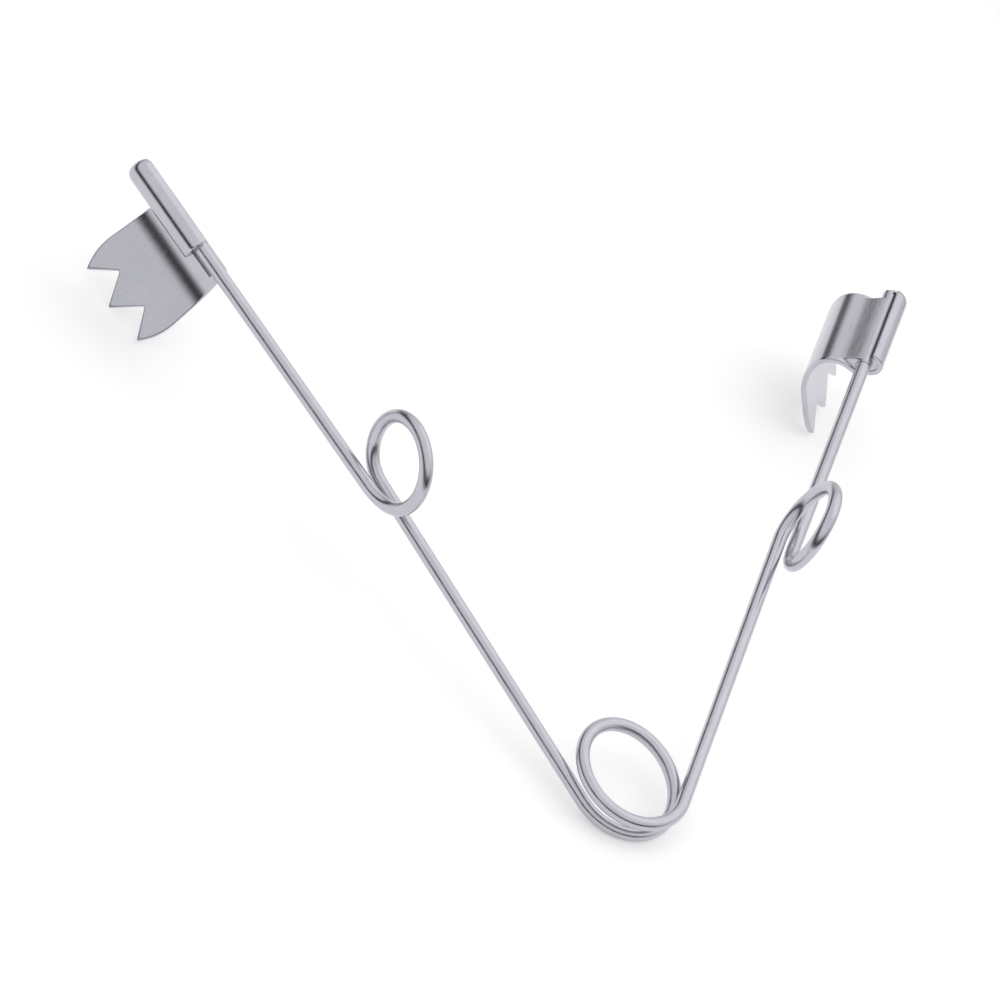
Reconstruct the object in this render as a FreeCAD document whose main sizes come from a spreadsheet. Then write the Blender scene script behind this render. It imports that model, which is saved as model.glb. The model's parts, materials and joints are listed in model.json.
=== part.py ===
import FreeCAD, Part
import math
import os

import Sketcher
from FreeCAD import Matrix, Placement, Rotation, Vector

# Sizes in millimetres and degrees: name, value, what it is
SIZES = [
    ("wire_diameter", 1.2, "spring wire"),
    ("centre_coil_radius", 4.9, "centre line of the wire in the centre coil"),
    ("centre_coil_span", 2.34, "axial distance between the two lower arms"),
    ("opening_angle", 57.0, "angle between the lower arms at rest"),
    ("lower_arm_length", 31.65, "straight wire from centre coil to side coil"),
    ("lower_arm_droop", 1.4, "lower arms lean out of the plane of the V"),
    ("left_coil_radius", 3.9, "centre line of the wire in the left side coil"),
    ("right_coil_radius", 3.6, "centre line of the wire in the right side coil"),
    ("side_coil_span", 1.45, "axial distance between lower and upper arm"),
    ("left_coil_lean", 12.3, "left coil axis from the cross direction, in plane"),
    ("left_coil_tip", 2.2, "left coil axis out of the plane of the V"),
    ("right_coil_lean", 27.9, "right coil axis from the cross direction, in plane"),
    ("right_coil_tip", 0.4, "right coil axis out of the plane of the V"),
    ("upper_arm_angle", 30.0, "upper arm from the middle line of the V"),
    ("upper_arm_droop", 3.5, "upper arm below the plane of the V"),
    ("left_upper_arm_length", 33.2, "left straight wire from side coil to its end"),
    ("right_upper_arm_length", 32.75, "right straight wire from side coil to its end"),
    ("coil_run_in_angle", 28.6, "turn of coil over which its slope changes"),
    ("sheet_thickness", 0.5, "stainless sheet of the blades"),
    ("roll_inner_radius", 0.75, "inside of the rolled edge"),
    ("roll_offset_out", 0.4, "rolled edge centre outward of the wire axis"),
    ("roll_offset_up", -0.08, "rolled edge centre above the wire axis"),
    ("roll_length", 8.8, "rolled edge along the wire"),
    ("roll_overhang", 0.3, "rolled edge past the end of the wire"),
    ("roll_lip_angle", 107.0, "where the free lip of the rolled edge stops"),
    ("roll_end_round", 0.3, "rounding of the rolled edge at the end of the wire"),
    ("leaf_bend_start", -0.95, "flat of the leaf stops here, across the wire"),
    ("leaf_bend_radius", 1.97, "tight bend of the leaf, middle of the sheet"),
    ("leaf_sweep_radius", 5.5, "wide curve of the leaf, middle of the sheet"),
    ("leaf_sweep_angle", 40.0, "turn of the wide curve"),
    ("leaf_run", 5.7, "flat of the leaf from the wide curve past the teeth"),
    ("leaf_blank_width", 11.6, "leaf along the wire before its sides are trimmed"),
    ("leaf_width", 8.6, "trimmed leaf along the wire, at its bend"),
    ("leaf_flare", 0.3, "widening of each side down to its shoulder"),
    ("shoulder_reach", 5.6, "where a side turns in to the outer tooth"),
    ("left_leaf_middle", 6.65, "middle of the left leaf, from the wire end"),
    ("right_leaf_middle", 4.92, "middle of the right leaf, from the wire end"),
    ("left_tooth_shift", -0.45, "left teeth toward the wire end"),
    ("right_tooth_shift", 0.6, "right teeth toward the wire end"),
    ("tooth_pitch", 3.7, "middle tooth to outer tooth"),
    ("tooth_reach", 9.2, "tip of the middle tooth in the cutting view"),
    ("outer_tooth_reach", 8.85, "tip of an outer tooth in the cutting view"),
    ("tooth_root", 6.74, "bottom of a notch in the cutting view"),
    ("tooth_tip_half", 0.06, "half the width of a tooth's blunt tip"),
    ("notch_round", 0.12, "rounding at the bottom of a notch"),
    ("solder_length", 8.4, "solder run inside the rolled edge"),
    ("solder_lip_angle", 95.0, "where the solder stops under the free lip"),
    ("solder_crown_angle", 88.0, "where the solder leaves the top of the wire"),
    ("solder_heel_angle", 212.0, "where the solder leaves the wire over the leaf"),
]

os.makedirs("parts", exist_ok=True)
doc = FreeCAD.newDocument("retractor")
sheet = doc.addObject("Spreadsheet::Sheet", "sizes")
for row, (alias, value, note) in enumerate(SIZES, start=1):
    sheet.set(f"A{row}", alias)
    sheet.set(f"B{row}", str(value))
    sheet.set(f"C{row}", note)
    sheet.setAlias(f"B{row}", alias)
doc.recompute()


def size(name):
    """Read one size back from the sheet."""
    return float(sheet.get(name))


def radians(name):
    """Read one angle from the sheet in radians."""
    return math.radians(size(name))


def unit(v):
    """Copy of a vector with length one."""
    return v.normalize() if v.Length else v


def frame(origin, x_axis, y_axis, z_axis):
    """Placement whose own axes are the three given directions."""
    m = Matrix(
        x_axis.x, y_axis.x, z_axis.x, origin.x,
        x_axis.y, y_axis.y, z_axis.y, origin.y,
        x_axis.z, y_axis.z, z_axis.z, origin.z,
        0, 0, 0, 1,
    )
    return Placement(m)


# The V lies in its own XY plane, opening toward +Y, with the side coils above it
WIRE = size("wire_diameter") / 2
NORMAL = Vector(0, 0, 1)


def side_values(side):
    """Directions and points of one arm, -1 for the left and 1 for the right."""
    name = "left" if side < 0 else "right"
    half = radians("opening_angle") / 2
    sag = radians("lower_arm_droop")
    up = Vector(side * math.sin(half) * math.cos(sag), math.cos(half) * math.cos(sag), -math.sin(sag))
    r = size("centre_coil_radius")
    z = side * size("centre_coil_span") / 2
    start = Vector(side * r * math.cos(half), -r * math.sin(half), z)
    knee = start + up * size("lower_arm_length")
    lean = radians(name + "_coil_lean")
    tip = radians(name + "_coil_tip")
    axis = Vector(side * math.cos(lean) * math.cos(tip), -math.sin(lean) * math.cos(tip), -math.sin(tip))
    along = unit(up - axis * up.dot(axis))
    bulge = unit(along.cross(axis))
    if bulge.z < 0:
        bulge = bulge * -1
    radius = size(name + "_coil_radius")
    middle = knee + bulge * radius
    angle = radians("upper_arm_angle")
    droop = radians("upper_arm_droop")
    top = Vector(side * math.sin(angle) * math.cos(droop), math.cos(angle) * math.cos(droop), -math.sin(droop))
    # The coil stops where its own direction is that of the upper arm
    turn = 2 * math.pi + math.atan2(top.dot(bulge), top.dot(along))
    around = bulge * (-radius * math.cos(turn)) + along * (radius * math.sin(turn))
    leave = middle + around + axis * size("side_coil_span")
    end = leave + top * size(name + "_upper_arm_length")
    return {
        "name": name, "side": side, "up": up, "start": start, "knee": knee, "axis": axis,
        "along": along, "bulge": bulge, "radius": radius, "middle": middle, "top": top,
        "turn": turn, "leave": leave, "end": end,
    }


LEFT = side_values(-1)
RIGHT = side_values(1)


def lead(angle, first_slope, last_slope, total_turn, span):
    """Axial height and slope at one angle round a coil.

    The slope starts at first_slope, ends at last_slope and is even between, so the
    coil takes over the direction of the straight wire at both ends.
    """
    run = radians("coil_run_in_angle")
    area = run * math.sqrt(math.pi) / 2
    even = (span - area * (first_slope + last_slope)) / (total_turn - 2 * area)
    left = total_turn - angle
    near = area * math.erf(angle / run)
    far = area * (1 - math.erf(left / run))
    height = even * angle + (first_slope - even) * near + (last_slope - even) * far
    slope = even + (first_slope - even) * math.exp(-(angle / run) ** 2)
    slope += (last_slope - even) * math.exp(-(left / run) ** 2)
    return height, slope


def arc_between(start, direction, stop):
    """Circular arc that leaves start along direction and ends at stop."""
    chord = stop - start
    inward = unit(direction.cross(chord).cross(direction))
    radius = chord.dot(chord) / (2 * chord.dot(inward))
    centre = start + inward * radius
    halfway = unit((start - centre) + (stop - centre))
    return Part.Arc(start, centre + halfway * radius, stop).toShape()


def arc_path(label, places):
    """Chain of arcs through places, each a point and a direction, with no kink.

    Two arcs join each pair of places and meet in one common direction.
    """
    edges = []
    for (p, t), (q, u) in zip(places, places[1:]):
        chord = q - p
        both = t + u
        bend = 2 * (1 - t.dot(u))
        reach = (math.sqrt(chord.dot(both) ** 2 + bend * chord.dot(chord)) - chord.dot(both)) / bend
        meet = (p + t * reach + q - u * reach) * 0.5
        edges.append(arc_between(p, t, meet))
        edges.append(arc_between(q, u * -1, meet))
    path = doc.addObject("Part::Feature", label)
    path.Label = label
    path.Shape = Part.Wire(Part.__sortEdges__(edges))
    return path


def swept_wire(node, places):
    """Round wire swept along a chain of arcs."""
    path = arc_path(node + "_path", places)
    ring = doc.addObject("Part::Circle", node + "_ring")
    ring.Label = node + "_ring"
    ring.setExpression("Radius", "sizes.wire_diameter / 2")
    start, direction = places[0]
    ring.Placement = Placement(start, Rotation(Vector(0, 0, 1), direction))
    doc.recompute()
    wire = doc.addObject("Part::Sweep", node)
    wire.Label = node
    wire.Sections = [ring]
    wire.Spine = (path, [f"Edge{k + 1}" for k in range(len(path.Shape.Edges))])
    wire.Solid = True
    wire.Frenet = False
    doc.recompute()
    return wire


def straight_wire(node, start, direction, length_name):
    """Straight round wire as a cylinder."""
    rod = doc.addObject("Part::Cylinder", node)
    rod.Label = node
    rod.setExpression("Radius", "sizes.wire_diameter / 2")
    rod.setExpression("Height", "sizes." + length_name)
    rod.Placement = Placement(start, Rotation(Vector(0, 0, 1), direction))
    return rod


def coil_places(middle, x_axis, y_axis, z_axis, radius, start_angle, total, span, first, last, steps):
    """Points and directions of the centre line of a coil.

    x_axis and y_axis span the plane of the coil and z_axis is its axis. first and
    last are the directions of the straight wire before and after the coil.
    """
    flat_first = math.hypot(first.dot(x_axis), first.dot(y_axis))
    flat_last = math.hypot(last.dot(x_axis), last.dot(y_axis))
    first_slope = radius * first.dot(z_axis) / flat_first
    last_slope = radius * last.dot(z_axis) / flat_last
    places = []
    for k in range(steps + 1):
        angle = total * k / steps
        height, slope = lead(angle, first_slope, last_slope, total, span)
        c = math.cos(start_angle + angle)
        s = math.sin(start_angle + angle)
        point = middle + x_axis * (radius * c) + y_axis * (radius * s) + z_axis * height
        direction = unit(x_axis * (-radius * s) + y_axis * (radius * c) + z_axis * slope)
        places.append((point, direction))
    return places


def centre_coil():
    """The coil at the bottom of the V, entered by the left arm and left by the right."""
    half = radians("opening_angle") / 2
    total = 3 * math.pi - 2 * half
    middle = Vector(0, 0, LEFT["start"].z)
    places = coil_places(
        middle, Vector(1, 0, 0), Vector(0, 1, 0), NORMAL, size("centre_coil_radius"),
        math.pi + half, total, size("centre_coil_span"), LEFT["up"] * -1, RIGHT["up"], 6)
    return swept_wire("centre_coil", places)


def side_coil(s):
    """One full turn between the lower and the upper arm."""
    places = coil_places(
        s["middle"], s["bulge"] * -1, s["along"], s["axis"], s["radius"],
        0, s["turn"], size("side_coil_span"), s["up"], s["top"], 4)
    return swept_wire(s["name"] + "_side_coil", places)


def origin_plane(body, role):
    """One of the body's own origin planes."""
    for feature in body.Origin.OriginFeatures:
        if feature.Role == role:
            return feature
    raise ValueError(role)


def sketch_on(body, label, role, offset):
    """Empty sketch on an origin plane of the body."""
    sketch = body.newObject("Sketcher::SketchObject", label)
    sketch.Label = label
    sketch.AttachmentSupport = [(origin_plane(body, role), "")]
    sketch.MapMode = "FlatFace"
    sketch.AttachmentOffset = offset
    return sketch


def arc(centre, radius, start, stop):
    """Circular arc in a sketch, angles in degrees, counterclockwise."""
    circle = Part.Circle(Vector(centre[0], centre[1], 0), Vector(0, 0, 1), radius)
    return Part.ArcOfCircle(circle, math.radians(start), math.radians(stop))


def line(a, b):
    """Straight edge in a sketch."""
    return Part.LineSegment(Vector(a[0], a[1], 0), Vector(b[0], b[1], 0))


def polar(centre, radius, angle):
    """Point on a circle, angle in degrees."""
    a = math.radians(angle)
    return (centre[0] + radius * math.cos(a), centre[1] + radius * math.sin(a))


def bind_radius(sketch, index, label, value, expression):
    """Hold the radius of one arc to the sheet."""
    number = sketch.addConstraint(Sketcher.Constraint("Radius", index, value))
    sketch.renameConstraint(number, label)
    sketch.setExpression("Constraints." + label, expression)


def three_point_arc(a, m, b):
    """Arc from a through m to b in a sketch, and the numbers of its ends at a and at b."""
    places = [Vector(x, y, 0) for x, y in (a, m, b)]
    through = Part.Arc(*places).toShape().Curve
    c = through.Center
    first = math.atan2(a[1] - c.y, a[0] - c.x)
    last = math.atan2(b[1] - c.y, b[0] - c.x)
    counterclockwise = (m[0] - a[0]) * (b[1] - m[1]) - (m[1] - a[1]) * (b[0] - m[0]) > 0
    if not counterclockwise:
        first, last = last, first
    if last < first:
        last += 2 * math.pi
    circle = Part.Circle(Vector(c.x, c.y, 0), Vector(0, 0, 1), through.Radius)
    return Part.ArcOfCircle(circle, first, last), ((1, 2) if counterclockwise else (2, 1))


def outline(sketch, runs):
    """Closed outline of runs: two points for a straight edge, three for an arc."""
    ends = []
    for run in runs:
        if len(run) == 2:
            sketch.addGeometry(line(*run), False)
            ends.append((1, 2))
        else:
            geometry, numbers = three_point_arc(*run)
            sketch.addGeometry(geometry, False)
            ends.append(numbers)
    for k, (_, last) in enumerate(ends):
        after = (k + 1) % len(ends)
        sketch.addConstraint(Sketcher.Constraint("Coincident", k, last, after, ends[after][0]))


def leaf_section():
    """Centres and turning points of the leaf's section, across the wire."""
    flat = size("roll_offset_up") - size("roll_inner_radius") - size("sheet_thickness") / 2
    bend = (size("leaf_bend_start"), flat - size("leaf_bend_radius"))
    wide = (bend[0] - size("leaf_bend_radius") + size("leaf_sweep_radius"), bend[1])
    stop = 180 + size("leaf_sweep_angle")
    return flat, bend, wide, stop


def halfway(a, direction, b):
    """Point halfway along the arc that leaves a in one direction and ends at b."""
    length = math.hypot(*direction)
    dx, dy = direction[0] / length, direction[1] / length
    x, y = b[0] - a[0], b[1] - a[1]
    turn = math.atan2(dx * y - dy * x, dx * x + dy * y)
    reach = math.hypot(x, y) / 2 / math.cos(turn / 2)
    c, s = math.cos(turn / 2), math.sin(turn / 2)
    return (a[0] + reach * (dx * c - dy * s), a[1] + reach * (dx * s + dy * c))


def leaf_edges(name, turn):
    """Outline that trims the leaf's sides and cuts its teeth.

    The first coordinate is the reach halfway between down and outward, the second
    runs along the wire. The sides widen to a shoulder and round in to the outer teeth.
    """
    middle = size(name + "_leaf_middle")
    shift = size(name + "_tooth_shift")
    half = size("leaf_width") / 2
    flare = size("leaf_flare")
    shoulder = size("shoulder_reach")
    step = size("tooth_pitch")
    gap = step / 2
    tip = size("tooth_tip_half")
    root = size("tooth_root")
    corner = size("notch_round")
    reach = size("tooth_reach")
    outer = size("outer_tooth_reach")
    high = -2 * size("leaf_bend_radius")
    spare = size("leaf_blank_width")
    beyond = reach + size("leaf_run")

    upper = (high, half + flare * high / shoulder)
    wide = (shoulder, half + flare)
    point = (outer, step + tip)
    notch_out = (root + corner, gap + corner)
    notch_in = (root + corner, gap - corner)
    side = [
        [upper, wide],
        [wide, halfway(wide, (shoulder, flare), point), point],
        [point, (outer, step - tip)],
        [(outer, step - tip), notch_out],
        [notch_out, (root, gap), notch_in],
        [notch_in, (reach, tip)],
    ]
    other_side = [[(q, -z) for q, z in reversed(run)] for run in reversed(side)]
    lower = (high, -upper[1])
    corners = [lower, (high, -spare), (beyond, -spare), (beyond, spare), (high, spare), upper]
    runs = side + [[(reach, tip), (reach, -tip)]] + other_side
    runs += [list(pair) for pair in zip(corners, corners[1:])]
    return [[(q, z + turn * (shift * q / outer - middle)) for q, z in run] for run in runs]


def blade(s):
    """Blade of one side: bent leaf with three teeth, and rolled edge round the wire."""
    name = s["name"]
    turn = -s["side"]
    t = size("sheet_thickness")
    k = (size("roll_offset_out"), size("roll_offset_up"))
    flat, bend, wide, stop = leaf_section()
    bend_r = size("leaf_bend_radius")
    wide_r = size("leaf_sweep_radius")
    middle = size(name + "_leaf_middle")

    body = doc.addObject("PartDesign::Body", name + "_blade")
    body.Label = name + "_blade"
    body.Placement = s["sleeve"]

    blank = size("leaf_blank_width")
    leaf_sketch = sketch_on(body, name + "_leaf_section", "XY_Plane",
                            Placement(Vector(0, 0, turn * -middle - blank / 2), Rotation()))
    top = flat + t / 2
    under = flat - t / 2
    outside = polar(wide, wide_r + t / 2, stop)
    inside = polar(wide, wide_r - t / 2, stop)
    run = polar((0, 0), size("leaf_run"), stop + 90)
    outside_end = (outside[0] + run[0], outside[1] + run[1])
    inside_end = (inside[0] + run[0], inside[1] + run[1])
    leaf_sketch.addGeometry(line((k[0], top), (bend[0], top)), False)
    leaf_sketch.addGeometry(arc(bend, bend_r + t / 2, 90, 180), False)
    leaf_sketch.addGeometry(arc(wide, wide_r + t / 2, 180, stop), False)
    leaf_sketch.addGeometry(line(outside, outside_end), False)
    leaf_sketch.addGeometry(line(outside_end, inside_end), False)
    leaf_sketch.addGeometry(line(inside_end, inside), False)
    leaf_sketch.addGeometry(arc(wide, wide_r - t / 2, 180, stop), False)
    leaf_sketch.addGeometry(arc(bend, bend_r - t / 2, 90, 180), False)
    leaf_sketch.addGeometry(line((bend[0], under), (k[0], under)), False)
    leaf_sketch.addGeometry(line((k[0], under), (k[0], top)), False)
    joints = ((0, 2, 1, 1), (1, 2, 2, 1), (2, 2, 3, 1), (3, 2, 4, 1), (4, 2, 5, 1), (5, 2, 6, 2),
              (6, 1, 7, 2), (7, 1, 8, 1), (8, 2, 9, 1), (9, 2, 0, 1))
    for a, end_a, b, end_b in joints:
        leaf_sketch.addConstraint(Sketcher.Constraint("Coincident", a, end_a, b, end_b))
    bind_radius(leaf_sketch, 1, "bend_outside", bend_r + t / 2,
                "sizes.leaf_bend_radius + sizes.sheet_thickness / 2")
    bind_radius(leaf_sketch, 2, "sweep_outside", wide_r + t / 2,
                "sizes.leaf_sweep_radius + sizes.sheet_thickness / 2")
    bind_radius(leaf_sketch, 6, "sweep_inside", wide_r - t / 2,
                "sizes.leaf_sweep_radius - sizes.sheet_thickness / 2")
    leaf_pad = body.newObject("PartDesign::Pad", name + "_leaf")
    leaf_pad.Profile = leaf_sketch
    leaf_pad.setExpression("Length", "sizes.leaf_blank_width")
    leaf_sketch.Visibility = False

    # The outline is cut along a line halfway between up and outward
    edge_sketch = sketch_on(body, name + "_leaf_outline", "XZ_Plane",
                            Placement(Vector(0, 0, 0), Rotation(Vector(0, 1, 0), -45)))
    outline(edge_sketch, leaf_edges(name, turn))
    cut = body.newObject("PartDesign::Pocket", name + "_teeth")
    cut.Profile = edge_sketch
    cut.Type = "Length"
    cut.setExpression("Length", "4 * sizes.tooth_reach")
    cut.Midplane = True
    edge_sketch.Visibility = False

    r_in = size("roll_inner_radius")
    r_out = r_in + t
    lip = size("roll_lip_angle")
    far = turn * size("roll_overhang")
    low = far - size("roll_length") if turn > 0 else far
    roll_sketch = sketch_on(body, name + "_roll_section", "XY_Plane",
                            Placement(Vector(0, 0, low), Rotation()))
    roll_sketch.addGeometry(arc(k, r_out, -90, lip), False)
    roll_sketch.addGeometry(line(polar(k, r_out, lip), polar(k, r_in, lip)), False)
    roll_sketch.addGeometry(arc(k, r_in, -90, lip), False)
    roll_sketch.addGeometry(line((k[0], k[1] - r_in), (k[0], k[1] - r_out)), False)
    for a, end_a, b, end_b in ((0, 2, 1, 1), (1, 2, 2, 2), (2, 1, 3, 1), (3, 2, 0, 1)):
        roll_sketch.addConstraint(Sketcher.Constraint("Coincident", a, end_a, b, end_b))
    bind_radius(roll_sketch, 0, "outside", r_out, "sizes.roll_inner_radius + sizes.sheet_thickness")
    bind_radius(roll_sketch, 2, "inside", r_in, "sizes.roll_inner_radius")
    roll_pad = body.newObject("PartDesign::Pad", name + "_roll")
    roll_pad.Profile = roll_sketch
    roll_pad.setExpression("Length", "sizes.roll_length")
    roll_sketch.Visibility = False
    doc.recompute()

    rim = []
    for number, edge in enumerate(roll_pad.Shape.Edges, start=1):
        curve = edge.Curve
        if not isinstance(curve, Part.Circle):
            continue
        if abs(curve.Radius - r_out) < 1e-6 and abs(curve.Center.z - far) < 1e-6:
            rim.append(f"Edge{number}")
    rounding = body.newObject("PartDesign::Fillet", name + "_roll_end")
    rounding.Base = (roll_pad, rim)
    rounding.setExpression("Radius", "sizes.roll_end_round")
    body.Tip = rounding
    doc.recompute()
    return body


def braze(s):
    """Solder that fills the rolled edge round the wire and closes its far end."""
    name = s["name"]
    turn = -s["side"]
    k = (size("roll_offset_out"), size("roll_offset_up"))
    r_in = size("roll_inner_radius")
    floor = k[1] - r_in
    body = doc.addObject("PartDesign::Body", name + "_braze")
    body.Label = name + "_braze"
    body.Placement = s["sleeve"]
    length = size("solder_length")
    edge = -length if turn > 0 else 0
    sketch = sketch_on(body, name + "_braze_section", "XY_Plane",
                       Placement(Vector(0, 0, edge), Rotation()))
    upper = size("solder_lip_angle")
    crown = size("solder_crown_angle")
    heel = size("solder_heel_angle")
    toe = (size("leaf_bend_start"), floor)
    sketch.addGeometry(arc(k, r_in, -90, upper), False)
    sketch.addGeometry(line(polar(k, r_in, upper), polar((0, 0), WIRE, crown)), False)
    sketch.addGeometry(arc((0, 0), WIRE, heel - 360, crown), False)
    sketch.addGeometry(line(polar((0, 0), WIRE, heel), toe), False)
    sketch.addGeometry(line(toe, (k[0], floor)), False)
    for a, end_a, b, end_b in ((0, 2, 1, 1), (1, 2, 2, 2), (2, 1, 3, 1), (3, 2, 4, 1), (4, 2, 0, 1)):
        sketch.addConstraint(Sketcher.Constraint("Coincident", a, end_a, b, end_b))
    bind_radius(sketch, 0, "roll_side", r_in, "sizes.roll_inner_radius")
    bind_radius(sketch, 2, "wire_side", WIRE, "sizes.wire_diameter / 2")
    pad = body.newObject("PartDesign::Pad", name + "_braze_run")
    pad.Profile = sketch
    pad.setExpression("Length", "sizes.solder_length")
    sketch.Visibility = False

    plug = sketch_on(body, name + "_braze_end", "XY_Plane",
                     Placement(Vector(0, 0, min(0, turn * size("roll_overhang"))), Rotation()))
    plug.addGeometry(Part.Circle(Vector(k[0], k[1], 0), Vector(0, 0, 1), r_in), False)
    bind_radius(plug, 0, "end_side", r_in, "sizes.roll_inner_radius")
    end_pad = body.newObject("PartDesign::Pad", name + "_braze_plug")
    end_pad.Profile = plug
    end_pad.setExpression("Length", "sizes.roll_overhang")
    plug.Visibility = False
    body.Tip = end_pad
    doc.recompute()
    return body


def lowest(points, up):
    """The point that lies lowest along the direction up."""
    return min(points, key=lambda p: p.dot(up))


def rest_placement(pieces):
    """Placement that lays the retractor on a flat table.

    It rests on the lowest tooth of each blade and on the centre coil. The plane through
    these three points is found again until they stay the same. The origin then goes to
    the middle of the footprint.
    """
    coil = pieces["centre_coil"].Spine[0].Shape.discretize(Number=600)
    left_teeth = [v.Point for v in pieces["left_blade"].Shape.Vertexes]
    right_teeth = [v.Point for v in pieces["right_blade"].Shape.Vertexes]
    up = NORMAL
    for _ in range(20):
        heel = lowest(coil, up) - up * WIRE
        up = unit((lowest(right_teeth, up) - heel).cross(lowest(left_teeth, up) - heel))
    across = unit(Vector(0, 1, 0).cross(up))
    level = frame(heel, across, up.cross(across), up).inverse()
    box = FreeCAD.BoundBox()
    for thing in pieces.values():
        box.add(thing.Shape.transformed(level.toMatrix()).optimalBoundingBox(True, False))
    return Placement(Vector(-box.Center.x, -box.Center.y, -box.ZMin), Rotation()).multiply(level)


for s in (LEFT, RIGHT):
    v = s["top"]
    lifted = unit(NORMAL - v * NORMAL.dot(v))
    outward = lifted.cross(v) * -s["side"]
    s["sleeve"] = frame(s["end"], outward, lifted, v * -s["side"])

nodes = {"centre_coil": centre_coil()}
for s in (LEFT, RIGHT):
    name = s["name"]
    nodes[name + "_lower_arm"] = straight_wire(name + "_lower_arm", s["start"], s["up"], "lower_arm_length")
    nodes[name + "_side_coil"] = side_coil(s)
    nodes[name + "_upper_arm"] = straight_wire(name + "_upper_arm", s["leave"], s["top"], name + "_upper_arm_length")
    nodes[name + "_blade"] = blade(s)
    nodes[name + "_braze"] = braze(s)

doc.recompute()
REST = rest_placement(nodes)
for thing in nodes.values():
    thing.Placement = REST.multiply(thing.Placement)
doc.recompute()
for thing in doc.Objects:
    if "Invalid" in thing.State or "Error" in thing.State:
        raise RuntimeError(f"{thing.Label} did not compute: {thing.State}")
for node, thing in nodes.items():
    shape = thing.Shape
    if not shape.isValid() or len(shape.Solids) != 1:
        raise RuntimeError(f"{node} has {len(shape.Solids)} solids, valid {shape.isValid()}")
    shape.exportStep(f"parts/{node}.step")
    box = shape.BoundBox
    print(f"{node:18s} {shape.Volume:8.3f} mm3  x {box.XMin:7.2f} {box.XMax:7.2f}"
          f"  y {box.YMin:7.2f} {box.YMax:7.2f}  z {box.ZMin:7.2f} {box.ZMax:7.2f}")


def show(label, v, is_direction=False):
    """Print a point or a direction in the frame of the finished part."""
    w = REST.Rotation.multVec(v) if is_direction else REST.multVec(v)
    print(label, round(w.x, 4), round(w.y, 4), round(w.z, 4))


# Where the wire bends when it springs, and where it is held
for s in (LEFT, RIGHT):
    show(s["name"] + " middle", s["middle"])
    show(s["name"] + " axis", s["axis"], True)
    show(s["name"] + " arm middle", (s["start"] + s["knee"]) * 0.5)
    show(s["name"] + " arm axis", s["up"], True)
show("spread middle", Vector(0, 0, 0))
show("spread axis", NORMAL, True)
right_teeth = [v.Point for v in nodes["right_blade"].Shape.Vertexes]
show("right tooth", REST.inverse().multVec(lowest(right_teeth, Vector(0, 0, 1))))
print("rest matrix", [round(a, 7) for a in REST.toMatrix().A])
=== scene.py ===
"""Looks of a self retaining retractor: sprung steel wire with two toothed blades."""

import json
import logging
import math
from dataclasses import dataclass
from enum import Enum

import bpy
import numpy as np
from numpy.typing import NDArray
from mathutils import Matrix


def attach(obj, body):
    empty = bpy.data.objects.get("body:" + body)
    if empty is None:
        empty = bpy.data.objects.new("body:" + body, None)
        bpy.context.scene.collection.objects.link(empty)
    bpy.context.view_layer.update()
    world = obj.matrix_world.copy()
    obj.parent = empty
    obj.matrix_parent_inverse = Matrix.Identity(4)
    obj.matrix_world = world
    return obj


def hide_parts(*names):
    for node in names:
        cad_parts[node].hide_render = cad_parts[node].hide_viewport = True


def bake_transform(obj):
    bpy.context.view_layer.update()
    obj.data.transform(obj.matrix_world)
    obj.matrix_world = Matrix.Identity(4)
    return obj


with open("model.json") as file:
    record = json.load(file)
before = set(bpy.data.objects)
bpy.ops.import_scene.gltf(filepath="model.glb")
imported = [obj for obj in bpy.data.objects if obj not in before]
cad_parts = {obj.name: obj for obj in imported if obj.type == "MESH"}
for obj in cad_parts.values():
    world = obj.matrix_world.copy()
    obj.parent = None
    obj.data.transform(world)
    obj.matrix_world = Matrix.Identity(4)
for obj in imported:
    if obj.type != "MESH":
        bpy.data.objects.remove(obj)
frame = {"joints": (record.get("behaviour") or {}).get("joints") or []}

Array = NDArray[np.float64]

LOG = logging.getLogger("retractor")
METRE = 0.001
SHARP_EDGE = math.radians(50.0)


class Side(Enum):
    """The two halves of the retractor, by the sign of their place across it."""

    LEFT = -1
    RIGHT = 1

    @property
    def word(self) -> str:
        """Name used by the bodies and nodes of this side."""
        return self.name.lower()


def unit(v: Array) -> Array:
    """Vector divided by its own length."""
    return v / np.linalg.norm(v)


@dataclass
class RestPose:
    """Where the flat V of the spring lies when the retractor stands on a table.

    Points of the V are in millimetres: x across, y from the centre coil to the open
    end, z out of the plane of the V.
    """

    origin: Array
    axes: Array

    @classmethod
    def from_joint(cls, joint: dict) -> "RestPose":
        """Find the V from the joint about which its two arms spread.

        Args:
            joint: The left spread joint, at the middle of the centre coil.

        Returns:
            The pose, whose z axis is the joint's axis turned upwards.
        """
        axis = np.array(joint["axis"], float)
        up = unit(axis if axis[2] > 0 else -axis)
        along = unit(np.array([0.0, up[2], -up[1]]))
        return cls(np.array(joint["pos_m"], float), np.stack([np.cross(along, up), along, up]))

    def world(self, points: Array) -> Array:
        """Points of the V in millimetres, as points of the scene in metres."""
        return self.origin + (points * METRE) @ self.axes

    def turn(self, directions: Array) -> Array:
        """Directions of the V as directions of the scene."""
        return directions @ self.axes


def quads(rows: int, columns: int, across: int) -> Array:
    """Corner numbers of a grid of quads, as an array of rows of four.

    Args:
        rows: Quads along the grid.
        columns: Quads across the grid.
        across: Vertices in one row, equal to columns where the grid closes on itself.

    Returns:
        Corners in the order here, next across, next along and across, next along.
    """
    i, j = np.meshgrid(np.arange(rows), np.arange(columns), indexing="ij")
    k = (j + 1) % across
    corners = [i * across + j, i * across + k, (i + 1) * across + k, (i + 1) * across + j]
    return np.stack(corners, axis=-1).reshape(-1, 4)


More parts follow.
